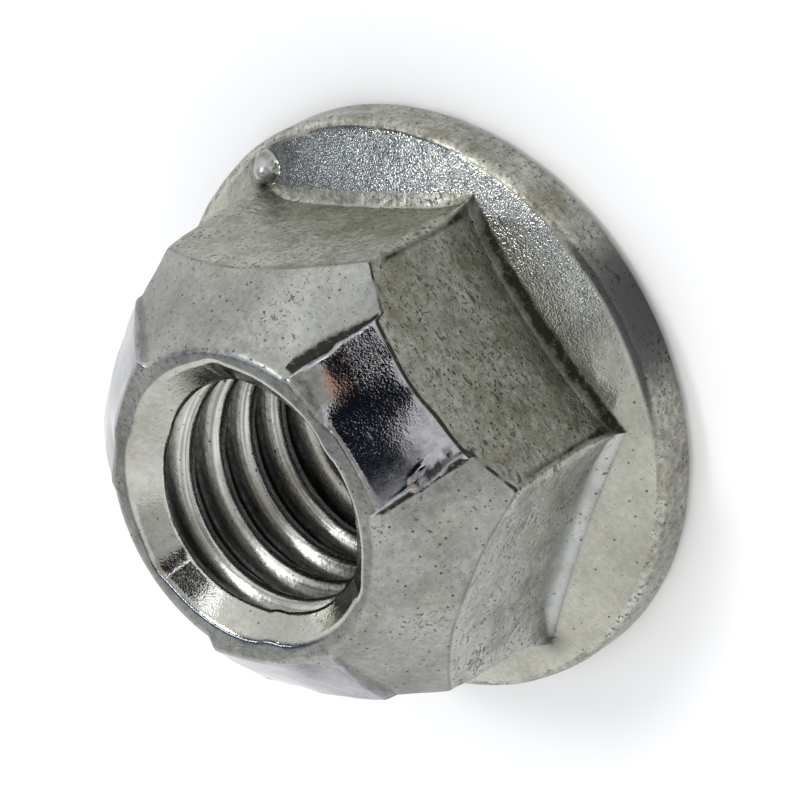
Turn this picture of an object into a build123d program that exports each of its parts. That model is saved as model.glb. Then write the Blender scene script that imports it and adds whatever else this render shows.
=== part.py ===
from build123d import *
from math import cos, radians, sin, tan
import os

# All-metal prevailing-torque hexagon flange nut, M10, with a serrated bearing face.
# One cold-forged steel piece. It stands on its flange: the origin is the centre of the bearing
# face, +Z runs up the thread axis to the pressed cone, and a corner of the hexagon points along +X.

# Overall sizes, in millimetres and degrees
nut_height = 11.4
flange_diameter = 21.8
flat_count = 6
across_flats = 15.85

# Thread: the bore is cut to the minor diameter, which follows from the nominal size and the pitch
thread_diameter = 10.0
thread_pitch = 1.5
thread_depth_ratio = 1.0825  # of an ISO metric internal thread, on the diameter
bore_diameter = thread_diameter - thread_depth_ratio * thread_pitch

# Flange: a short upright rim under a sloping face, with a rolled shoulder and a chamfered foot
rim_height = 1.8
flange_slope = 17.0
shoulder_radius = 0.4
rim_foot_chamfer = 0.3
foot_cove_radius = 0.7

# Cone: it takes the corners off the hexagon and ends in a narrow flat ring around the bore
ring_diameter = 11.6
ring_edge_radius = 0.35
cone_slope = 48.0

# Three flat pads pressed into the cone over every second flat, to pinch the last threads
pad_count = 3
first_pad_angle = -90.0
pad_width = 5.3
pad_slope = 46.0
pad_inset = 0.1
pad_thickness = 1.0
pad_side_draft = 20.0

# Countersinks at both ends of the thread
cone_countersink_diameter = 10.4
seat_countersink_diameter = 10.8
countersink_angle = 90.0

# Serrations: ratchet teeth round the outer part of the bearing face
tooth_count = 30
tooth_depth = 0.25
tooth_crest_share = 0.2
serration_inner_diameter = 15.0

# Pip: a small forged dot on the flange, just outside one corner of the hexagon
pip_diameter = 0.8
pip_height = 0.35
pip_circle_diameter = 20.0
pip_angle = -3.5

# Derived sizes
flange_radius = flange_diameter / 2
flat_radius = across_flats / 2
half_flat_angle = 180 / flat_count
corner_radius = flat_radius / cos(radians(half_flat_angle))
ring_radius = ring_diameter / 2
blank_radius = corner_radius + foot_cove_radius
flange_peak = rim_height + flange_radius * tan(radians(flange_slope))


def flange_face_height(radius):
    """Height of the flange's sloping face at a distance from the axis."""
    return flange_peak - radius * tan(radians(flange_slope))


def cone_height(radius):
    """Height of the cone's surface at a distance from the axis."""
    return nut_height - (radius - ring_radius) * tan(radians(cone_slope))


def pad_plane(angle):
    """Plane of one pad: x runs across the pad, y up the slope, and z stands out of the metal."""
    radius = ring_radius - pad_inset
    edge = Vector(radius, 0, nut_height).rotate(Axis.Z, angle)
    outward = Vector(sin(radians(pad_slope)), 0, cos(radians(pad_slope))).rotate(Axis.Z, angle)
    across = Vector(0, 1, 0).rotate(Axis.Z, angle)
    return Plane(origin=edge, x_dir=across, z_dir=outward)


# One gap between two ratchet teeth: it starts at a steep wall and runs out along a gentle ramp.
# It is lofted outwards, so every tooth keeps the same share of the circle at any radius.
gap_share = (1 - tooth_crest_share) * 360 / tooth_count
gap_inner_radius = serration_inner_diameter / 2
gap_outer_radius = flange_radius + shoulder_radius
with BuildPart() as tooth_gap:
    for gap_radius in (gap_inner_radius, gap_outer_radius):
        gap_width = gap_radius * tan(radians(gap_share))
        with BuildSketch(Plane.YZ.offset(gap_radius)):
            Polygon(
                (0, -tooth_depth),
                (0, tooth_depth),
                (gap_width, 0),
                (gap_width, -tooth_depth),
                align=None,
            )
    loft(ruled=True)

# One cove: the hollow bar of metal that runs each flat of the hexagon into the flange. Its arc
# leaves the flat without a step and lands at the flange's own slope, and its ends are mitred.
landing = radians(90 - flange_slope)
toe_radius = flat_radius + foot_cove_radius * (1 - cos(landing))
toe_height = flange_face_height(toe_radius)
cove_height = toe_height + foot_cove_radius * sin(landing)
cove_root = flat_radius - foot_cove_radius
with BuildPart() as cove:
    with BuildSketch(Plane.XZ):
        with BuildLine():
            CenterArc(
                center=(flat_radius + foot_cove_radius, cove_height),
                radius=foot_cove_radius,
                start_angle=180,
                arc_size=90 - flange_slope,
            )
            Polyline(
                (toe_radius, toe_height),
                (toe_radius, rim_height),
                (cove_root, rim_height),
                (cove_root, cove_height),
                (flat_radius, cove_height),
            )
        make_face()
    extrude(amount=flat_radius, both=True)
    half_mitre = across_flats * tan(radians(half_flat_angle))
    with BuildSketch():
        Polygon((0, 0), (across_flats, -half_mitre), (across_flats, half_mitre), align=None)
    extrude(amount=nut_height, mode=Mode.INTERSECT)

with BuildPart() as flange_nut:
    # Coned blank, wider than the hexagon, turned about the thread axis
    with BuildSketch(Plane.XZ):
        with BuildLine():
            Polyline(
                (0, 0),
                (blank_radius, 0),
                (blank_radius, cone_height(blank_radius)),
                (ring_radius, nut_height),
                (0, nut_height),
                close=True,
            )
        make_face()
        ring_corner = vertices().sort_by_distance((ring_radius, nut_height))[0]
        fillet(ring_corner, radius=ring_edge_radius)
    revolve(axis=Axis.Z)

    # Pressed pads: the cone is cleared over each pad, and the flat-faced pad stands in its place
    pad_length = (blank_radius - ring_radius + pad_inset) / cos(radians(pad_slope))
    for pad_index in range(pad_count):
        pad_angle = first_pad_angle + pad_index * 360 / pad_count
        with BuildSketch(pad_plane(pad_angle).offset(-pad_thickness / 2)):
            Rectangle(pad_width, pad_length, align=(Align.CENTER, Align.MAX))
        extrude(amount=pad_thickness, mode=Mode.SUBTRACT)
        with BuildSketch(pad_plane(pad_angle)):
            Rectangle(pad_width, pad_length, align=(Align.CENTER, Align.MAX))
        extrude(amount=-pad_thickness, taper=-pad_side_draft)

    # Hexagon: its six flats trim the coned blank
    with BuildSketch():
        RegularPolygon(radius=corner_radius, side_count=flat_count)
    extrude(amount=nut_height, mode=Mode.INTERSECT)

    # Flange with its sloping face, rolled shoulder and chamfered foot
    with BuildSketch(Plane.XZ):
        with BuildLine():
            Polyline(
                (0, 0),
                (flange_radius, 0),
                (flange_radius, rim_height),
                (0, flange_peak),
                close=True,
            )
        make_face()
        shoulder = vertices().sort_by_distance((flange_radius, rim_height))[0]
        fillet(shoulder, radius=shoulder_radius)
        rim_foot = vertices().sort_by_distance((flange_radius, 0))[0]
        chamfer(rim_foot, length=rim_foot_chamfer)
    revolve(axis=Axis.Z)

    # Coves at the foot of the six flats
    with PolarLocations(radius=0, count=flat_count, start_angle=half_flat_angle):
        add(cove.part)

    # Bore, at the thread's minor diameter, countersunk at the cone and at the bearing face
    Hole(radius=bore_diameter / 2)
    with Locations((0, 0, nut_height)):
        CounterSinkHole(
            radius=bore_diameter / 2,
            counter_sink_radius=cone_countersink_diameter / 2,
            counter_sink_angle=countersink_angle,
        )
    with Locations(Location((0, 0, 0), (180, 0, 0))):
        CounterSinkHole(
            radius=bore_diameter / 2,
            counter_sink_radius=seat_countersink_diameter / 2,
            counter_sink_angle=countersink_angle,
        )

    # Serrations: the tooth gaps run out on the foot's chamfer, all round the bearing face
    with PolarLocations(radius=0, count=tooth_count):
        add(tooth_gap.part, mode=Mode.SUBTRACT)

    # Forged pip on the flange face
    pip_radius = pip_circle_diameter / 2
    pip_floor = flange_face_height(pip_radius)
    with PolarLocations(radius=pip_radius, count=1, start_angle=pip_angle):
        with Locations((0, 0, pip_floor + pip_height - pip_diameter / 2)):
            Sphere(radius=pip_diameter / 2)

flange_nut.part.label = "flange_nut"
os.makedirs("parts", exist_ok=True)
export_step(flange_nut.part, "parts/flange_nut.step")
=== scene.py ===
from math import cos, pi, radians, sin, tan

import bpy
import numpy as np
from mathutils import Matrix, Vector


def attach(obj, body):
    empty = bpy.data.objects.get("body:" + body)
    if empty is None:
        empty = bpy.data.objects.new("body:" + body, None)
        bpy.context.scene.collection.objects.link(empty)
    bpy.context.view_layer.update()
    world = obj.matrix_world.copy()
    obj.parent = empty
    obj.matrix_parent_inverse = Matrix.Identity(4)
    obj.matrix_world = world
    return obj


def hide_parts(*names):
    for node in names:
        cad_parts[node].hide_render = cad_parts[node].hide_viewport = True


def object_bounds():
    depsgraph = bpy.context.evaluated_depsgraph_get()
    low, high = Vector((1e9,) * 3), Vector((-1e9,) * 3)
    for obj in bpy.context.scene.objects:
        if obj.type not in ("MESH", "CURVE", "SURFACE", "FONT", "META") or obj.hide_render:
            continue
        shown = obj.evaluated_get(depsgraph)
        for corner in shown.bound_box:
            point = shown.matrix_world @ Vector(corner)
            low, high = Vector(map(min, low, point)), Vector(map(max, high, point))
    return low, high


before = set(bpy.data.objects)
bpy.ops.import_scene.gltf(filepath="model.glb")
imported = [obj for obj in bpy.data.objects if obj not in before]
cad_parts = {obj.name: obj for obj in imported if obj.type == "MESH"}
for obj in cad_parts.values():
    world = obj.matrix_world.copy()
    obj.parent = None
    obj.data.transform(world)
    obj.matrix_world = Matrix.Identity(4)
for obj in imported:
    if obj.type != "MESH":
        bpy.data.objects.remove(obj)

cad_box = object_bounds()

# ---------------------------------------------------------------------------------------------
# Forged blank: hexagon, cone, coves and flange. One slug of medium-carbon steel, cold-headed in
# closed dies, which leave crisp but slightly rolled edges, gently uneven faces and a small pip.
# ---------------------------------------------------------------------------------------------
# Sizes are in millimetres and degrees, from the centre of the bearing face. The height and the
# flange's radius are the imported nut's
nut_height = round(cad_box[1][2] * 1000, 3)
flange_radius = round(cad_box[1][0] * 1000, 3)
rim_height = 1.8
face_slope = tan(radians(17.0))
face_peak = rim_height + flange_radius * face_slope
shoulder_radius = 0.4
flat_radius = 7.925
corner_rounding = 0.2
edge_bevel = 0.07
toe_radius = 8.42
pip_radius, pip_angle, pip_width, pip_height = 10.0, -3.5, 0.55, 0.52

# Cone, and the ring left flat on top of it
cone_slope = tan(radians(48.0))
ring_radius = 5.8
ring_rounding = 0.2
ring_band = 0.3
land_middle, land_lobe = 5.2, 0.2

# Pads pressed into the cone over every second flat. Distances run out from the axis along the
# flat's normal. A pad's face rolls off at two opposite corners, from the distances given here
pad_edge = 2.65
pad_wall = 0.17
pad_reach = 5.7
pad_slope = tan(radians(46.0))
pad_inner, pad_outer = 6.4, 8.36
pad_span = 24.5
pad_bulge, pad_hollow = 0.26, 0.12
inner_roll, inner_roll_end = 0.12, 7.2
outer_roll, outer_roll_start = 0.09, 6.5

# The nut's skin is a grid: columns run round the axis, and rows run along the section, out of
# the bore, over the cone, down the flats, across the flange, and back under it to the bore
column_count = 480
half_columns = 40
first_flat = -90.0
column = np.arange(column_count)
sector = (column + half_columns) // (2 * half_columns) % 6
step_in_sector = (column + half_columns) % (2 * half_columns) - half_columns
flat_angle = first_flat + 60.0 * sector
even_offset = step_in_sector * 30.0 / half_columns
padded = (sector % 2 == 0).astype(float)
front = (sector == 0).astype(float)


def ease(x):
    """Smooth step of x from 0 to 1: three x squared less two x cubed."""
    x = np.clip(x, 0.0, 1.0)
    return x * x * (3 - 2 * x)


def smooth_min(a, b, width):
    """The smaller of a and b, with the kink between them rounded over that width."""
    h = np.clip(0.5 + 0.5 * (b - a) / width, 0.0, 1.0)
    return b + (a - b) * h - width * h * (1 - h)


def near(value, middle, width, power=2):
    """Bell of a value round a middle: e to the minus of the distance over the width, to a power."""
    return np.exp(-((np.abs(value - middle) / width) ** power))


def off_flat(pad_side):
    """Each column's azimuth from the middle of its flat, with one row for each azimuth at which
    the pad's side wall starts. Columns bunch at that wall and at the corner, and are even in
    between: marks are the columns, counted from the flat's middle, that stand at those angles."""
    side = np.broadcast_to(np.atleast_1d(pad_side)[:, None], (np.size(pad_side), column_count))
    wall_end = side + np.degrees(pad_wall / 7.0)
    marks = (0, 8, 15, 19, 33, 40)
    angles = (0 * side, side - 5.0, side, wall_end, 0 * side + 28.3, 0 * side + 30.0)
    steps = np.abs(step_in_sector)
    total = 0 * side
    for k in range(5):
        passed = np.clip((steps - marks[k]) / (marks[k + 1] - marks[k]), 0, 1)
        total = total + passed * (angles[k + 1] - angles[k])
    return total * np.sign(step_in_sector)


def hexagon_radius(offset):
    """Distance to the hexagon at an azimuth off a flat's middle: flat radius over the cosine,
    and at the corner the near side of the circle that rounds it."""
    turned = np.radians(np.abs(offset))
    straight = flat_radius / np.cos(turned)
    centre = (flat_radius - corner_rounding) / cos(radians(30))
    to_corner = np.radians(30) - turned
    root = np.sqrt(np.maximum(corner_rounding**2 - (centre * np.sin(to_corner)) ** 2, 0))
    start = np.arctan((flat_radius - corner_rounding) * tan(radians(30)) / flat_radius)
    return np.where(turned < start, straight, centre * np.cos(to_corner) + root)


def slope_height(radius, offset):
    """Height of the cone, and of the flat pads in it. A pad falls along its flat's normal only,
    bulges by a square law across, and rolls off at two corners by another. Its side wall blends
    it into the cone over the wall's width."""
    along = radius * np.cos(np.radians(offset))
    sideways = radius * np.sin(np.radians(offset))
    cone = nut_height - (radius - ring_radius) * cone_slope
    bulge = pad_bulge * (1 - (np.abs(sideways) / pad_edge) ** 2) - pad_hollow
    pad = nut_height - 0.02 - (along - pad_reach - bulge) * pad_slope
    inner = np.clip(inner_roll_end - along, 0, 1.5) ** 2
    outer = np.clip(along - outer_roll_start, 0, 1.9) ** 2
    pad = pad - inner_roll * ease((sideways - 0.2) / 1.2) * inner
    pad = pad - outer_roll * ease((0.2 - sideways) / 1.4) * outer
    inside = padded * (1 - ease((np.abs(sideways) - pad_edge) / pad_wall))
    return cone + (pad - cone) * inside


def face_height(radius):
    """Height of the flange's sloping face at a distance from the axis: a straight fall."""
    return face_peak - radius * face_slope


def along_rows(count):
    """Evenly spread shares of a band of rows, from 0 up to the start of the next band."""
    return (np.arange(count) / count)[:, None]


rows_radius, rows_azimuth, rows_height, rows_kind = [], [], [], []


def add_rows(radius, offset, height, kind):
    """Puts a band of rows on the skin. Offsets are azimuths from the middle of each flat, and
    kind is what the band is made as, which gives it its finish."""
    shape = np.broadcast_shapes(np.shape(radius), np.shape(offset), np.shape(height))
    rows_radius.append(np.broadcast_to(radius, shape))
    rows_azimuth.append(np.broadcast_to(flat_angle + offset, shape))
    rows_height.append(np.broadcast_to(height, shape))
    rows_kind.extend([kind] * shape[0])


# Land round the bore: the top of the cone, narrower where the pads pinch it. The ring's line
# follows each pad's chord, and eases back to the circle past the pad's side
top_offset = off_flat(pad_span)
past_pad = ease((np.abs(top_offset[0]) - pad_span) / 2.2)
chord = pad_reach / np.cos(np.radians(np.minimum(np.abs(top_offset[0]), pad_span + 0.5)))
ring_line = ring_radius + padded * (1 - past_pad) * (chord - ring_radius)
rolled = ring_rounding - 0.12 * padded * (1 - past_pad)
land_turn = flat_angle + off_flat(pad_span - 0.5)[0] - first_flat
land_radius = land_middle - land_lobe * np.cos(np.radians(3 * land_turn))

t = along_rows(4)
offset = even_offset + (top_offset - even_offset) * ease(t)
radius = land_radius + 0.07 + t * (ring_line - ring_band - land_radius - 0.07)
height = smooth_min(nut_height + 0 * radius, slope_height(radius, offset), rolled)
add_rows(radius, offset, height, "land")

# Rolled ring edge, then the cone and the pads, down to the bevel over the flats
t = along_rows(7)
radius = ring_line - ring_band + t * 2 * ring_band
offset = top_offset + 0 * radius
height = smooth_min(nut_height + 0 * radius, slope_height(radius, offset), rolled)
add_rows(radius, offset, height, "land")

t = along_rows(13)
pad_middle = pad_inner + t[:, 0] * (pad_outer - pad_inner)
cone_offset = off_flat(np.minimum(np.degrees(np.arcsin(pad_edge / pad_middle)), pad_span))
cone_end = hexagon_radius(cone_offset) - edge_bevel
radius = ring_line + ring_band + t * (cone_end - ring_line - ring_band)
height = smooth_min(nut_height + 0 * radius, slope_height(radius, cone_offset), rolled)
add_rows(radius, cone_offset, height, "cone")

# Bevel between the cone and the flats: a curve that leaves one face and lands on the other
flat_offset = off_flat(np.degrees(np.arcsin(pad_edge / pad_outer)))
hexagon = hexagon_radius(flat_offset)
bevel_start = slope_height(hexagon - edge_bevel, flat_offset)
bevel_kink = slope_height(hexagon, flat_offset)
bevel_end = bevel_kink - edge_bevel
t = along_rows(4)
radius = hexagon - edge_bevel * (1 - t) ** 2
height = (1 - t) ** 2 * bevel_start + 2 * t * (1 - t) * bevel_kink + t**2 * bevel_end
add_rows(radius, flat_offset, height, "edge")

# Each flat's cove starts at its own height. Each corner is fuller towards its foot, by a share
# of the drop, and ends in a short spur on the flange. Handling has blunted some of them
cove_rise = np.array([0.34, 0.26, 0.4, 0.45, 0.4, 1.0])[sector]
cove_rise = cove_rise + (0.3 - cove_rise) * ease((np.abs(flat_offset) - 10) / 20)
cove_toe = toe_radius / np.cos(np.radians(flat_offset))
cove_top = face_height(cove_toe) + cove_rise
corner = ((flat_angle + np.where(step_in_sector < 0, -30, 30)) // 60 % 6).astype(int)
fullness = np.array([0.115, 0.06, 0.07, 0.08, 0.02, 0.03])[corner]
wear = np.array([0.0, 0.06, 0.1, 0.05, 0.13, 0.16])[corner]
spur = np.array([0.1, 0.3, 0.3, 0.3, 0.36, 0.34])[corner]
corner_radius = 9.12
spur_top = 3.4
wear_low, wear_high = 2.7, 7.4


def corner_at(height):
    """Distance to the hexagon at a height. The corner grows by its fullness for each millimetre
    down, ends in a spur on the flange, and is cut square by its wear about half-way up."""
    off_corner = 30 - np.abs(flat_offset)
    grown = fullness * np.maximum(bevel_kink - height, 0) * near(off_corner, 0, 5.0)
    spur_share = np.clip((spur_top - height) / 1.3, 0, 1) ** 2 * near(off_corner, 0, 1.1)
    worn = wear * ease((height - wear_low) / 1.2) * ease((wear_high - height) / 1.2)
    blunt = (corner_radius + fullness * 3 - worn) / np.cos(np.radians(off_corner))
    return smooth_min(hexagon + grown + spur * spur_share, blunt + 3 * spur_share, 0.03)


t = along_rows(14)
height = bevel_end + t * (cove_top - bevel_end)
add_rows(corner_at(height), flat_offset, height, "flat")

# Coves: a quarter turn of metal from each flat out to the flange face
t = along_rows(8)
kink = face_height(hexagon) + 0.02
height = (1 - t) ** 2 * cove_top + 2 * t * (1 - t) * kink + t**2 * face_height(cove_toe)
radius = (1 - t**2) * corner_at(cove_top) + t**2 * cove_toe
add_rows(radius, flat_offset, height, "cove")

# Flange face, with the pip
t = along_rows(15)
shoulder_start = flange_radius - shoulder_radius + shoulder_radius * sin(radians(17))
radius = cove_toe + t * (shoulder_start - cove_toe)
off_pip = np.radians(flat_angle + flat_offset - pip_angle)
from_pip = np.hypot(radius * np.cos(off_pip) - pip_radius, radius * np.sin(off_pip))
pip = pip_height * np.clip(1 - (from_pip / pip_width) ** 2, 0, 1) ** 0.6
add_rows(radius, flat_offset, face_height(radius) + pip, "face")

# Rolled shoulder and upright rim. Under the flange the columns follow the serrations, sixteen to
# a tooth, so they swing over to them on the way down
tooth_columns = 16
tooth_angle = 12.0
tooth_steps = (0, 1, 12, 16)
tooth_number, tooth_step = np.divmod(column + tooth_columns // 2, tooth_columns)
tooth_azimuth = first_flat - tooth_angle / 2 + tooth_angle * tooth_number
tooth_azimuth = tooth_azimuth + np.interp(tooth_step, tooth_steps, (0, 0.2, 9.6, tooth_angle))
swing = (tooth_azimuth - (flat_angle + flat_offset) + 180) % 360 - 180
toothed_offset = flat_offset + swing
rim_top, foot_top = 1.504, 0.354

t = along_rows(6)
turn = np.radians(73) * (1 - t)
radius = flange_radius - shoulder_radius + shoulder_radius * np.cos(turn)
height = rim_top + shoulder_radius * np.sin(turn)
add_rows(radius, flat_offset + swing * 0.3 * t, height, "edge")
t = along_rows(5)
height = rim_top - t * (rim_top - foot_top)
add_rows(flange_radius + 0 * t, flat_offset + swing * (0.3 + 0.7 * t), height, "rim")

# ---------------------------------------------------------------------------------------------
# Serrated bearing face: thirty ratchet teeth coined into the outer part of the seat, inside a
# chamfered foot. They bite when the nut is undone. Inside them is a plain ring.
# ---------------------------------------------------------------------------------------------
# Each tooth has a steep wall, a ramp, and a flat crest in the plane that the nut stands on
tooth_depth = 0.25
teeth_outer, teeth_inner = 10.3, 7.5
seat_radius = 5.4
foot_profile = np.array([(10.9, 0.34), (10.88, 0.28), (10.76, 0.16), (10.64, 0.04), (10.58, 0.0)])
foot_radius, foot_height = foot_profile[:, :1], foot_profile[:, 1:]
tooth_gap = np.interp(tooth_step, tooth_steps, (0, tooth_depth, 0, 0))
add_rows(foot_radius, toothed_offset, np.maximum(foot_height, tooth_gap), "foot")
t = along_rows(5)
radius = teeth_outer - t * (teeth_outer - teeth_inner - 0.03)
add_rows(radius, toothed_offset, tooth_gap + 0 * t, "teeth")
add_rows(np.array([[teeth_inner + 0.03]]), toothed_offset, tooth_gap[None], "teeth")
t = along_rows(4)
radius = teeth_inner - t * (teeth_inner - seat_radius - 0.06)
add_rows(radius, toothed_offset + (even_offset - toothed_offset) * t, 0 * t, "teeth")

# ---------------------------------------------------------------------------------------------
# Bore: drilled, tapped with a coarse right-hand thread, and countersunk at both ends. The pads
# pinch its upper turns slightly three-cornered, and that is what grips the bolt.
# ---------------------------------------------------------------------------------------------
thread_pitch = 1.7
minor_radius, major_radius = 4.188, 5.0
flank_angle = 31.0
crest_half = 0.16
thread_azimuth, thread_height = 45.6, 9.03
thread_end, thread_runout = 9.9, 0.75
pinch_depth, pinch_fade = 0.13, 3.2

# The groove is cut between two crests, its root and its crests rounded, and runs out at the top.
# phase is the share of a turn that a point lies past the crest
bore_rows = 112
height = np.linspace(0.04, nut_height - 0.05, bore_rows)[:, None]
azimuth = flat_angle + even_offset
phase = ((height - thread_height) / thread_pitch - (azimuth - thread_azimuth) / 360) % 1.0
off_crest = np.abs((phase + 0.5) % 1.0 - 0.5) * thread_pitch
flank = (off_crest - crest_half) / tan(radians(flank_angle))
groove = smooth_min(major_radius - minor_radius + 0 * off_crest, flank, 0.2)
groove = -smooth_min(-groove, 0 * groove, 0.12)
groove = groove * (1 - ease((height - thread_end) / thread_runout))
lobe = np.cos(np.radians(3 * (azimuth - first_flat)))
below_mouth = np.maximum(nut_height - 1.0 - height, 0)
thread = minor_radius + groove - pinch_depth * lobe * near(below_mouth, 0, pinch_fade, 1)
cone_sink = land_radius - (nut_height - height)
seat_sink = seat_radius - height
radius = np.maximum(np.maximum(thread, cone_sink - 0.02), seat_sink)
add_rows(radius, even_offset, height, "bore")

# Where the tap's fine lines run: each point's place on the thread's section, which is the same
# all along a turn
turning = 2 * pi * phase
tool_lines = np.stack([5 * np.cos(turning), 5 * np.sin(turning), height * 1.3 + 0 * phase], axis=-1)

# ---------------------------------------------------------------------------------------------
# The nut's skin, as one closed mesh: the bands of rows joined into a loop, with the forging's
# gentle unevenness on it, and the burrs that the press left beside the pads.
# ---------------------------------------------------------------------------------------------
kinds = np.array(rows_kind)
row_count = len(kinds)
radius = np.vstack(rows_radius)
local = np.vstack(rows_azimuth) - flat_angle
azimuth = np.radians(np.vstack(rows_azimuth))
height = np.vstack(rows_height)
across = radius * np.sin(np.radians(local))
along = radius * np.cos(np.radians(local))
sunk = np.zeros((row_count, column_count))
sunk[-bore_rows:] = cone_sink > thread + 0.01
skin = np.stack([radius * np.cos(azimuth), radius * np.sin(azimuth), height], axis=-1)


def grid_normals(points):
    """Outward unit normal at each point: the cross product of its neighbours' differences."""
    down = np.roll(points, -1, 0) - np.roll(points, 1, 0)
    round_axis = np.roll(points, -1, 1) - np.roll(points, 1, 1)
    normal = np.cross(down, round_axis)
    return normal / np.maximum(np.linalg.norm(normal, axis=-1, keepdims=True), 1e-9)


def unevenness(points, wavelength, seed):
    """Smooth noise of about unit size: the sum of 30 waves of random direction and phase whose
    lengths spread round the given wavelength."""
    draw = np.random.default_rng(seed)
    direction = draw.normal(size=(30, 3))
    direction /= np.linalg.norm(direction, axis=1, keepdims=True)
    length = wavelength * draw.uniform(0.7, 1.6, 30)
    start = draw.uniform(0, 2 * pi, 30)
    waves = np.cos(points @ (direction * 2 * pi / length[:, None]).T + start)
    return waves.sum(axis=-1) / np.sqrt(15)


def of_kind(*names):
    """One for the rows made as any of those names, and zero for the others."""
    return np.isin(kinds, names)[:, None] * 1.0


# Millimetres of unevenness on each band. The pads are pressed by a polished punch, so they have
# far less of it
amount = {
    "land": 0.006, "cone": 0.024, "edge": 0.024, "flat": 0.034, "cove": 0.02,
    "face": 0.008, "rim": 0.016, "foot": 0.0, "teeth": 0.0, "bore": 0.004,
}
amount = np.array([amount[k] for k in kinds])[:, None]
over_pad = (np.abs(across) < pad_edge + 0.1) * (radius > ring_line)
on_pad = padded * of_kind("cone", "land") * over_pad
relief = unevenness(skin, 3.2, 1) * 0.6 + unevenness(skin, 1.3, 2) * 0.3
relief = relief + unevenness(skin, 0.55, 3) * 0.12
normal = grid_normals(skin)
skin = skin + normal * (amount * (relief - 0.4) * (1 - 0.85 * on_pad))[..., None]

# Burr: the press rolls a lip along each pad's side edge, thickest on the side it leaves last.
# In front, part of it is folded over the pad, with a pocket behind it
left_side = across < 0
burr_side = np.where(left_side, 1.0, 0.3) * padded * (0.12 + 0.88 * front)
ragged = 0.7 + 0.5 * unevenness(skin, 0.9, 4) + 0.2 * unevenness(skin, 0.35, 5)
on_slope = of_kind("cone", "edge") * ease((along - 5.9) / 0.8) * ease((8.2 - along) / 0.5)
burr = 0.22 * burr_side * on_slope * near(np.abs(across), pad_edge + 0.03, 0.09) * ragged
folded = front * left_side * near(along, 7.2, 0.6) * of_kind("cone")
off_wall = pad_edge - np.abs(across)
fold_line = 0.1 + 0.3 * folded + 0.04 * unevenness(skin, 0.5, 7)
lip = 0.11 * folded * near(off_wall, fold_line, 0.09) * ragged
skin = skin + normal * (burr + lip)[..., None]

from_axis = np.hypot(skin[..., 0], skin[..., 1])
skin[..., :2] *= np.minimum(1, flange_radius / from_axis)[..., None]
skin[..., 2] = np.clip(skin[..., 2], 0.0, nut_height)

vertex = np.arange(row_count * column_count).reshape(row_count, column_count)
below, beside = np.roll(vertex, -1, 0), np.roll(vertex, -1, 1)
quads = np.stack([vertex, below, np.roll(below, -1, 1), beside], axis=-1).reshape(-1, 4)
mesh = bpy.data.meshes.new("nut_skin")
mesh.from_pydata((skin.reshape(-1, 3) * 0.001).tolist(), [], quads.tolist())
mesh.polygons.foreach_set("use_smooth", np.ones(len(quads), dtype=bool))

# Finish of each face, by its number in the order of the materials below: 0 pressed cone,
# 1 coined flange, 2 pressed pad, 3 tapped thread, 4 countersink, 5 forged flat, 6 forged rim
made_as = {
    "land": 0, "cone": 0, "edge": 0, "flat": 5, "cove": 5,
    "face": 1, "rim": 6, "foot": 6, "teeth": 1, "bore": 3,
}
low = height < 3
# The flat that is painted lightest
painted_lighter_flat = (sector == 5).astype(float)
pip_top = of_kind("face") * np.clip((skin[..., 2] - face_height(radius)) / 0.3, 0, 1)
finish = np.array([made_as[k] for k in kinds])[:, None] + 0 * vertex
finish = np.where(of_kind("edge") * low > 0, 6, finish)
finish = np.where(on_pad > 0, 2, finish)
finish = np.where(sunk > 0, 4, finish)
finish = np.where(pip_top > 0.25, 0, finish)
finish = np.where(of_kind("cove") * painted_lighter_flat > 0, 0, finish)
mesh.polygons.foreach_set("material_index", finish.reshape(-1).astype(np.int32))


def mark(name, values):
    """Keeps a number from 0 to 1 for each point of the skin, for the materials to follow."""
    layer = mesh.attributes.new(name, "FLOAT", "POINT")
    layer.data.foreach_set("value", np.clip(values, 0, 1).reshape(-1).astype(np.float32))


# Painted shade in the creases: at the toes of the flats and the coves, darkest and widest below the
# front flat
patchy = np.clip(0.6 + 0.45 * unevenness(skin, 1.1, 6), 0, 1)
plain_toe = 1 - np.isin(sector, (1, 5)) * 0.85
from_toe = np.hypot(radius - cove_toe, height - face_height(cove_toe))
front_band = near(from_toe, 0, 0.4, 3) * (1 - 0.75 * ease((local - 19) / 7))
front_band = front_band * (0.5 + 0.15 * patchy) + near(from_toe, 0, 1.0) * (0.2 + 0.25 * patchy)
toe_band = front * front_band + (1 - front) * near(from_toe, 0.05, 0.12) * 0.5 * plain_toe
toe_band = toe_band + painted_lighter_flat * near(from_toe, 0.6, 0.2) * 0.1
toe_line = near(radius, cove_toe, 0.05, 1) * 0.5 * plain_toe
painted_shade_and_grime = of_kind("flat", "cove") * toe_band + of_kind("face") * toe_line

# Painted shade beside the pads' walls, darkest by the front pad, and in the fold's pocket; and a
# darker ring round the pip's foot
wall_width = 0.09 + 0.13 * front * (across > 0) * (1 - ease((along - 6.2) / 1.8))
wall_shade = near(np.abs(across), pad_edge + 0.03 + wall_width, wall_width, 4)
wall_shade = wall_shade * (0.2 + front * np.where(left_side, 0.6, 0.9))
pocket = folded * (off_wall > 0.02) * ease((fold_line - 0.04 - off_wall) / 0.08) * 0.7
from_pip_foot = np.hypot(skin[..., 0] - 9.98, skin[..., 1] + 0.61)
painted_shade_and_grime = painted_shade_and_grime + padded * of_kind("cone") * wall_shade + pocket
painted_shade_and_grime = painted_shade_and_grime + of_kind("face") * near(from_pip_foot, pip_width - 0.03, 0.07) * 0.25
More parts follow.
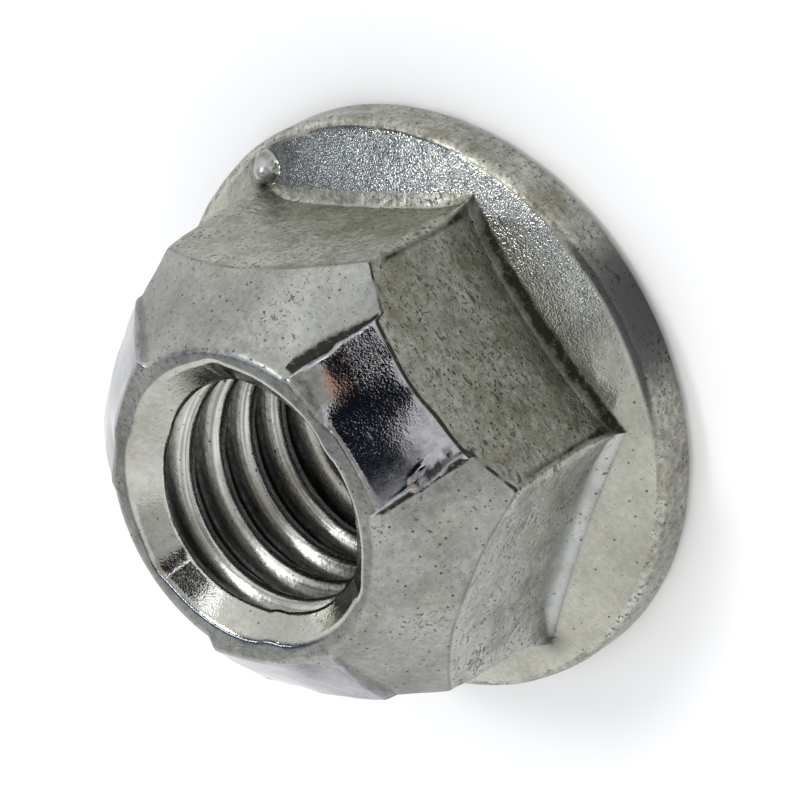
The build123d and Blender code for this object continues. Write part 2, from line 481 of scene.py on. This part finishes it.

# Painted shade along the edges between the cone and the flats, strongest over and beside the front
# flat, and at the thread's root; a dark line down the front flat's corners; and grime in one stain
cone_edge = of_kind("edge") * (height > 3) * (radius > hexagon_radius(local) - 0.06)
cone_edge = cone_edge * np.maximum(patchy * (0.22 + 0.6 * front), front * (off_wall > -0.2))
corner_line = near(np.abs(local), 28.7, 0.6) * front * (0.35 + 0.45 * patchy) * (height < 7.2)
from_stain = np.linalg.norm(skin - np.array([-9.5, 0.0, 2.2]), axis=-1)
root = of_kind("bore") * np.clip((radius - minor_radius - 0.3) / 0.35, 0, 1) * (sunk == 0)
painted_shade_and_grime = painted_shade_and_grime + cone_edge + of_kind("flat") * corner_line + root * 0.25
painted_shade_and_grime = painted_shade_and_grime + of_kind("flat", "cove", "face") * near(from_stain, 0, 0.55) * 0.5
mark("painted_shade_and_grime", painted_shade_and_grime)

# Painted shade, a flat dark grey: on the stretch of the rim and of the shoulder over it that faces
# the camera, in the coves and at the thread's root, and a little on the front flat
shaded_azimuth, shaded_width = -98.0, 15.0
from_shaded = (np.degrees(azimuth) - shaded_azimuth + 180) % 360 - 180
shaded_rim = (of_kind("rim", "foot") + of_kind("edge") * low) * near(from_shaded, 0, shaded_width, 4)
shoulder_line = near(radius, 10.68, 0.1) * low * near(from_shaded, -4, shaded_width + 5, 4)
painted_shade = shaded_rim + of_kind("face", "edge") * shoulder_line + root
painted_shade = painted_shade + of_kind("flat") * front * 0.28 + of_kind("cove") * 0.45 * plain_toe
mark("painted_shade", painted_shade)

# Lightened towards a pale grey: painted highlights on the crests of the thread and on the burr, a
# painted lighter tone on the flats either side of the front one, and the pip's top, worn bright
crests = np.zeros((row_count, column_count))
crests[-bore_rows:] = np.clip(1.3 - groove / 0.5, 0, 1) * (sunk[-bore_rows:] == 0)
painted_lighter_flats = (painted_lighter_flat * 0.5 + (sector == 1) * 0.12) * of_kind("flat", "cove")
mark("wear_and_painted_highlight", crests * 0.65 + pip_top * 0.35 + painted_lighter_flats + burr * 5)

# Coarse plating crystals: on the flange's face in front, and on the front pad, where they fade
# towards its left side and at its inner right corner
coarse_azimuth, coarse_width = -54.0, 42.0
from_coarse = (np.degrees(azimuth) - coarse_azimuth + 180) % 360 - 180
coarse_face = of_kind("face") * (0.1 + 0.9 * near(from_coarse, 0, coarse_width, 6))
coarse_pad = 0.4 + 0.8 * near(np.hypot(across - 2.1, along - 7.9), 0, 1.3, 4)
coarse_pad = coarse_pad * (0.12 + 0.88 * ease((across + 1.9) / 1.6))
coarse_pad = coarse_pad * (1 - 0.8 * near(np.hypot(across - 2.1, along - 6.0), 0, 0.8, 4))
mark("coarse", coarse_face + on_pad * front * coarse_pad + of_kind("bore") * 0.5)

line_places = np.zeros((row_count, column_count, 3))
line_places[-bore_rows:] = tool_lines
layer = mesh.attributes.new("tool_lines", "FLOAT_VECTOR", "POINT")
layer.data.foreach_set("vector", line_places.reshape(-1))

nut = bpy.data.objects.new("nut_skin", mesh)
bpy.context.collection.objects.link(nut)
mesh.update()


# ---------------------------------------------------------------------------------------------
# Zinc plating, a few micrometres, clear passivated. It follows the steel under it, so it is dull
# and pitted on the forged skin, satin on the flange, glassy on the pads and lined in the bore.
# ---------------------------------------------------------------------------------------------
def linear(code):
    """sRGB hex to a linear RGBA colour."""
    value = np.array([int(code[i : i + 2], 16) for i in (1, 3, 5)]) / 255
    value = np.where(value <= 0.04045, value / 12.92, ((value + 0.055) / 1.055) ** 2.4)
    return (*value.tolist(), 1.0)


def add(tree, kind, inputs=None, output=0, **settings):
    """Adds a node of that kind with its settings, and gives the output with that number or name.
    Each input is a value or another node's output."""
    node = tree.nodes.new("ShaderNode" + kind)
    for name, value in settings.items():
        setattr(node, name, value)
    for name, value in (inputs or {}).items():
        if isinstance(value, bpy.types.NodeSocket):
            tree.links.new(value, node.inputs[name])
        else:
            node.inputs[name].default_value = value
    return node.outputs[output]


def zinc(name, light, dark, roughness, grain, grain_size, pits, waves, mottle=0.45, stain=0.0,
         crystal=0.0, lines=0.0):
    """Zinc-plated steel. light and dark are its two tones, and roughness is how dull it is. grain
    is the height and grain_size the width of its fine relief, waves the width of its broad tones
    and crystal the height of its coarse crystals, all in millimetres. pits is the share of pits
    kept, mottle the share of fine tones, and stain and lines how strongly the brown stains and
    the tap's lines show."""
    material = bpy.data.materials.new(name)
    material.use_nodes = True
    tree = material.node_tree
    shader = tree.nodes["Principled BSDF"]
    colours = {"data_type": "RGBA", "output": 2}
    position = add(tree, "TexCoord", output="Object")
    in_mm = add(tree, "Mapping", {"Vector": position, "Scale": (1000, 1000, 1000)})
    look = {"Vector": in_mm, "Scale": 1 / waves, "Detail": 3.0, "Roughness": 0.55}
    broad = add(tree, "TexNoise", look)
    look = {"Vector": in_mm, "Scale": 4.0, "Detail": 6.0, "Roughness": 0.72}
    fine = add(tree, "TexNoise", look)
    blend = add(tree, "Mix", {"Factor": mottle, "A": broad, "B": fine})
    tone = add(tree, "MapRange", {"Value": blend, "From Min": 0.38, "From Max": 0.62})
    plate = add(tree, "Mix", {"Factor": tone, "A": linear(dark), "B": linear(light)}, **colours)
    # Painted highlights and a painted lighter tone, with the pip's wear, mix towards a pale grey
    wear_and_painted_highlight = add(tree, "Attribute", output="Fac", attribute_name="wear_and_painted_highlight")
    bright = add(tree, "Math", {0: wear_and_painted_highlight, 1: 0.75}, operation="MULTIPLY")
    plate = add(tree, "Mix", {"Factor": bright, "A": plate, "B": linear("#c9cccd")}, **colours)
    if lines > 0:
        along_cut = add(tree, "Attribute", output="Vector", attribute_name="tool_lines")
        look = {"Vector": along_cut, "Scale": 1.0, "Detail": 2.0, "Roughness": 0.6}
        cut = {"Value": add(tree, "TexNoise", look), "From Min": 0.42, "From Max": 0.6}
        cut = add(tree, "MapRange", {**cut, "To Max": lines})
        plate = add(tree, "Mix", {"Factor": cut, "A": plate, "B": linear("#5a5a50")}, **colours)

    # Olive-brown stains a few millimetres across, with ragged edges, where the rinse water dried.
    # Over them lies the painted shade, a flat dark grey
    look = {"Vector": in_mm, "Scale": 0.55, "Detail": 5.0, "Roughness": 0.68, "Distortion": 0.6}
    blots = {"Value": add(tree, "TexNoise", look), "From Min": 0.5, "From Max": 0.66}
    blots = add(tree, "MapRange", {**blots, "To Max": stain})
    plate = add(tree, "Mix", {"Factor": blots, "A": plate, "B": linear("#625d49")}, **colours)
    painted_shade = add(tree, "Attribute", output="Fac", attribute_name="painted_shade")
    plate = add(tree, "Mix", {"Factor": painted_shade, "A": plate, "B": linear("#4a4b4a")}, **colours)

    # Pits 0.05 to 0.15 mm wide, and short scratches both ways, left by scale and tumbling
    marks = 0.0
    pit_edge = add(tree, "Math", {0: fine, 1: 0.46}, operation="MULTIPLY")
    for per_mm in (3.6, 8.0):
        distance = add(tree, "TexVoronoi", {"Vector": in_mm, "Scale": per_mm}, output="Distance")
        pit = {"Value": distance, "From Min": pit_edge, "From Max": 0.06}
        pit = add(tree, "MapRange", pit)
        draw = add(tree, "SeparateColor", {"Color": distance.node.outputs["Color"]})
        kept = add(tree, "Math", {0: draw, 1: pits}, operation="LESS_THAN")
        pit = add(tree, "Math", {0: pit, 1: kept}, operation="MULTIPLY")
        marks = add(tree, "Math", {0: marks, 1: pit}, operation="MAXIMUM")
    start = 0.97 - 0.2 * pits
    for turn, stretch in (((0.4, 0.9, 0.2), (7.5, 2.6, 6.0)), ((1.1, 0.3, 0.8), (2.2, 8.0, 6.0))):
        turned = add(tree, "Mapping", {"Vector": in_mm, "Rotation": turn, "Scale": stretch})
        look = {"Vector": turned, "Scale": 1.0, "Detail": 2.0, "Roughness": 0.6}
        scratch = {0: broad, 1: 0.45, 2: add(tree, "TexNoise", look)}
        scratch = add(tree, "Math", scratch, operation="MULTIPLY_ADD")
        scratch = {"Value": scratch, "From Min": start, "From Max": start + 0.09, "To Max": 0.7}
        scratch = add(tree, "MapRange", scratch)
        marks = add(tree, "Math", {0: marks, 1: scratch}, operation="MAXIMUM")

    # Nearly black: in the pits and scratches, and with a torn edge for the painted shade and the
    # grime that the skin marks
    painted_shade_and_grime = add(tree, "Attribute", output="Fac", attribute_name="painted_shade_and_grime")
    torn = {"Value": fine, "From Min": 0.35, "From Max": 0.58, "To Min": -0.4, "To Max": 0.9}
    torn = {0: painted_shade_and_grime, 1: add(tree, "MapRange", torn), 2: painted_shade_and_grime}
    torn_shade_and_grime = add(tree, "Math", torn, operation="MULTIPLY_ADD", use_clamp=True)
    shade = add(tree, "Math", {0: torn_shade_and_grime, 1: marks}, operation="MAXIMUM")
    dirt_and_painted_shade = add(tree, "Math", {0: shade, 1: 0.92}, operation="MULTIPLY")
    plate = add(tree, "Mix", {"Factor": dirt_and_painted_shade, "A": plate, "B": linear("#1c1a15")}, **colours)
    tree.links.new(plate, shader.inputs["Base Color"])
    shader.inputs["Metallic"].default_value = 1.0
    gloss = {"Value": fine, "From Min": 0.3, "From Max": 0.7}
    gloss = {**gloss, "To Min": roughness * 0.75, "To Max": roughness * 1.25}
    rough = {0: shade, 1: 0.25, 2: add(tree, "MapRange", gloss)}
    rough = add(tree, "Math", rough, operation="MULTIPLY_ADD")
    tree.links.new(rough, shader.inputs["Roughness"])

    # Relief: the grain of the steel, the pits in it, and crystals 0.08 mm wide where it is coarse
    look = {"Vector": in_mm, "Scale": 1 / grain_size, "Detail": 2.0, "Roughness": 0.5}
    relief = {0: marks, 1: -0.5, 2: add(tree, "TexNoise", look)}
    relief = add(tree, "Math", relief, operation="MULTIPLY_ADD")
    look = {"Vector": in_mm, "Scale": 13.0, "Detail": 1.0, "Roughness": 0.5}
    facets = add(tree, "TexNoise", look)
    coarse = add(tree, "Attribute", output="Fac", attribute_name="coarse")
    facets = add(tree, "Math", {0: facets, 1: coarse}, operation="MULTIPLY")
    facets = add(tree, "Math", {0: facets, 1: crystal}, operation="MULTIPLY")
    surface = add(tree, "Math", {0: relief, 1: grain, 2: facets}, operation="MULTIPLY_ADD")
    bump = add(tree, "Bump", {"Height": surface, "Strength": 1.0, "Distance": 0.001})
    tree.links.new(bump, shader.inputs["Normal"])
    mesh.materials.append(material)


# Pressed cone: a smooth die over forged skin leaves a dull, even grey with a few pits
zinc("zinc_on_pressed_cone", "#9e9f9a", "#787975", 0.34, 0.016, 0.3, 0.4, 2.2,
     mottle=0.55, stain=0.25)
# Coined flange: satin, with crystals that sparkle where the light is low
zinc("zinc_on_coined_flange", "#a9a9a0", "#8a8a82", 0.12, 0.005, 0.3, 0.2, 3.0, crystal=0.022)
# Pressed pads: a polished punch leaves them nearly a mirror, crinkled by the crystals
zinc("zinc_on_pressed_pad", "#a4a4a6", "#7c7c80", 0.08, 0.003, 0.35, 0.05, 1.1, crystal=0.013)
# Tapped thread: painted highlights on the crests, painted shade in the roots, and fine lines along
# the turns
zinc("zinc_on_tapped_thread", "#d0d0c6", "#a2a296", 0.27, 0.01, 0.2, 0.1, 1.5, lines=0.65)
# Turned countersink: smooth enough to show soft reflections
zinc("zinc_on_turned_countersink", "#b0b0a8", "#90908a", 0.13, 0.006, 0.4, 0.1, 2.5, crystal=0.014)
# Forged flats and coves: rough, mottled olive-grey with many pits and stains
zinc("zinc_on_forged_flat", "#aeaea2", "#6a6a5e", 0.36, 0.035, 0.3, 0.6, 1.3,
     mottle=0.65, stain=0.5)
# Forged rim: as the flats, but lighter, because it was tumbled cleaner
zinc("zinc_on_forged_rim", "#b8b8b0", "#74746a", 0.34, 0.03, 0.3, 0.5, 1.6,
     mottle=0.65, stain=0.55)

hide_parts("flange_nut")
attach(nut, "root")

# ---------------------------------------------------------------------------------------------
# Stage: a plain near-white paper floor that fills the frame, two soft lamps, a white tent with
# dark and light cards in it for the metal to mirror, and the camera.
# ---------------------------------------------------------------------------------------------
floor_mesh = bpy.data.meshes.new("floor")
span = 3.0
floor_corners = [(-span, -span, 0), (span, -span, 0), (span, span, 0), (-span, span, 0)]
floor_mesh.from_pydata(floor_corners, [], [(0, 1, 2, 3)])
floor = bpy.data.objects.new("floor", floor_mesh)
bpy.context.collection.objects.link(floor)
paper = bpy.data.materials.new("white_paper_backdrop")
paper.use_nodes = True
paper_shader = paper.node_tree.nodes["Principled BSDF"]
paper_shader.inputs["Base Color"].default_value = linear("#f2f2f2")
paper_shader.inputs["Roughness"].default_value = 0.9
paper_shader.inputs["Specular IOR Level"].default_value = 0.0
floor_mesh.materials.append(paper)


def lamp(name, azimuth, elevation, distance, width, length, power, colour):
    """A soft lamp at a bearing and an elevation in degrees and a distance in metres, aimed at the
    nut. Its length runs up and down."""
    light = bpy.data.lights.new(name, "AREA")
    light.shape = "RECTANGLE"
    light.size = width
    light.size_y = length
    light.energy = power
    light.color = linear(colour)[:3]
    holder = bpy.data.objects.new(name, light)
    bearing, rise = radians(azimuth), radians(elevation)
    ray = (cos(rise) * cos(bearing), cos(rise) * sin(bearing), sin(rise))
    holder.location = [distance * part for part in ray]
    holder.rotation_euler = (pi / 2 - rise, 0, bearing + pi / 2)
    holder.visible_camera = False
    bpy.context.collection.objects.link(holder)


lamp("back_strip", 47, 62, 0.6, 0.045, 0.36, 0.32, "#dfeaff")
lamp("thread_lamp", 2, 57, 0.6, 0.11, 0.11, 0.78, "#ffffff")

# The tent's light is linear, so that a card can be brighter than white. Each card is an oval on
# the sky: its bearing and elevation, its half sizes as sines, its edge's softness and its light
world = bpy.data.worlds.new("studio_tent")
world.use_nodes = True
tent = world.node_tree
ray = add(tent, "TexCoord", output="Object")
sky = (1.4, 1.4, 1.4, 1.0)
for azimuth, elevation, half_width, half_height, soft, light in (
    (47, 58, 0.5, 0.48, 0.5, (0.15, 0.17, 0.21, 1.0)),
    (-72, 66, 0.28, 0.24, 0.2, (0.72, 0.71, 0.64, 1.0)),
    (-120, 44, 0.28, 0.3, 0.4, (0.75, 0.76, 0.77, 1.0)),
    (-73, 52, 0.15, 0.08, 0.7, (1.2, 0.62, 0.38, 1.0)),
    (-72, 46, 0.43, 0.135, 0.3, (0.012, 0.016, 0.03, 1.0)),
    (-36, 37, 0.1, 0.13, 0.6, (3.4, 3.5, 3.7, 1.0)),
):
    bearing, rise = radians(azimuth), radians(elevation)
    aside = {0: ray, 1: (-sin(bearing) / half_width, cos(bearing) / half_width, 0)}
    aside = add(tent, "VectorMath", aside, output="Value", operation="DOT_PRODUCT")
    upward = (-cos(bearing) * sin(rise), -sin(bearing) * sin(rise), cos(rise))
    upward = {0: ray, 1: [part / half_height for part in upward]}
    upward = add(tent, "VectorMath", upward, output="Value", operation="DOT_PRODUCT")
    on_card = add(tent, "CombineXYZ", {"X": aside, "Y": upward})
    off_middle = add(tent, "VectorMath", {0: on_card}, output="Value", operation="LENGTH")
    inside = {"Value": off_middle, "From Min": 1 + soft / 2, "From Max": 1 - soft / 2}
    inside = add(tent, "MapRange", inside)
    sky = {"Factor": inside, "A": sky, "B": light}
    sky = add(tent, "Mix", sky, output=2, data_type="RGBA")
tent.links.new(sky, tent.nodes["Background"].inputs["Color"])
bpy.context.scene.world = world

# The camera's place is in metres, and its turns are in degrees
camera = bpy.data.cameras.new("camera")
camera.lens = 187.5
camera.sensor_width = 36.0
camera.clip_start = 0.01
camera_holder = bpy.data.objects.new("camera", camera)
camera_holder.location = (-0.005353, -0.104785, 0.107210)
camera_holder.rotation_euler = (radians(-26.7453), radians(37.5849), radians(-132.7394))
bpy.context.collection.objects.link(camera_holder)
bpy.context.scene.camera = camera_holder
bpy.context.scene.view_settings.view_transform = "Standard"
